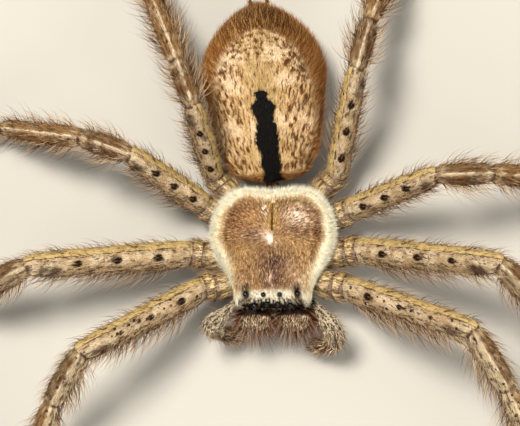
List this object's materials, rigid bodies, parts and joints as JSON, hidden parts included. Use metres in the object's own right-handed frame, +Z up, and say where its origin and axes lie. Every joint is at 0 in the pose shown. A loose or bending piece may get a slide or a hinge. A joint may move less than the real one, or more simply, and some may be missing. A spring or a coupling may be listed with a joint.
{
  "type": "huntsman spider model",
  "caption": "Life-size still model of a huntsman spider at rest, head low, legs spread sideways and forward like a crab, standing on its foot pads.",
  "frame": {"origin": "on the floor, below the middle of the box round the whole spider", "axes": "+Z up from the floor, -Y the way the head points, +X towards the spider's left"},
  "size_m": [0.1134, 0.099, 0.0203],
  "materials": {
    "carapace_coat": "short lying hair, mottled brown with a cream margin",
    "abdomen_coat": "dense short hair, cream speckled with brown, dark middle stripe",
    "leg_coat": "short hair and long bristles, grey-cream with dark spots",
    "underside": "dull brown skin",
    "eye": "glossy black",
    "fang": "glossy dark red-brown"
  },
  "bodies": {
    "root": {"abdomen": "abdomen_coat", "carapace": "carapace_coat", "chelicera_left": "leg_coat", "chelicera_right": "leg_coat", "eye_anterior_lateral_left": "eye", "eye_anterior_lateral_right": "eye", "eye_anterior_median_left": "eye", "eye_anterior_median_right": "eye", "eye_posterior_lateral_left": "eye", "eye_posterior_lateral_right": "eye", "eye_posterior_median_left": "eye", "eye_posterior_median_right": "eye", "fang_left": "fang", "fang_right": "fang", "leg_III_left_coxa": "leg_coat", "leg_III_left_femur": "leg_coat", "leg_III_left_foot": "leg_coat", "leg_III_left_patella": "leg_coat", "leg_III_left_tibia": "leg_coat", "leg_III_right_coxa": "leg_coat", "leg_III_right_femur": "leg_coat", "leg_III_right_foot": "leg_coat", "leg_III_right_patella": "leg_coat", "leg_III_right_tibia": "leg_coat", "leg_II_left_coxa": "leg_coat", "leg_II_left_femur": "leg_coat", "leg_II_left_foot": "leg_coat", "leg_II_left_patella": "leg_coat", "leg_II_left_tibia": "leg_coat", "leg_II_right_coxa": "leg_coat", "leg_II_right_femur": "leg_coat", "leg_II_right_foot": "leg_coat", "leg_II_right_patella": "leg_coat", "leg_II_right_tibia": "leg_coat", "leg_IV_left_coxa": "leg_coat", "leg_IV_left_femur": "leg_coat", "leg_IV_left_foot": "leg_coat", "leg_IV_left_patella": "leg_coat", "leg_IV_left_tibia": "leg_coat", "leg_IV_right_coxa": "leg_coat", "leg_IV_right_femur": "leg_coat", "leg_IV_right_foot": "leg_coat", "leg_IV_right_patella": "leg_coat", "leg_IV_right_tibia": "leg_coat", "leg_I_left_coxa": "leg_coat", "leg_I_left_femur": "leg_coat", "leg_I_left_foot": "leg_coat", "leg_I_left_patella": "leg_coat", "leg_I_left_tibia": "leg_coat", "leg_I_right_coxa": "leg_coat", "leg_I_right_femur": "leg_coat", "leg_I_right_foot": "leg_coat", "leg_I_right_patella": "leg_coat", "leg_I_right_tibia": "leg_coat", "palp_left_base": "leg_coat", "palp_left_end": "leg_coat", "palp_right_base": "leg_coat", "palp_right_end": "leg_coat", "pedicel": "underside", "sternum": "underside"}
  },
  "joints": []
}
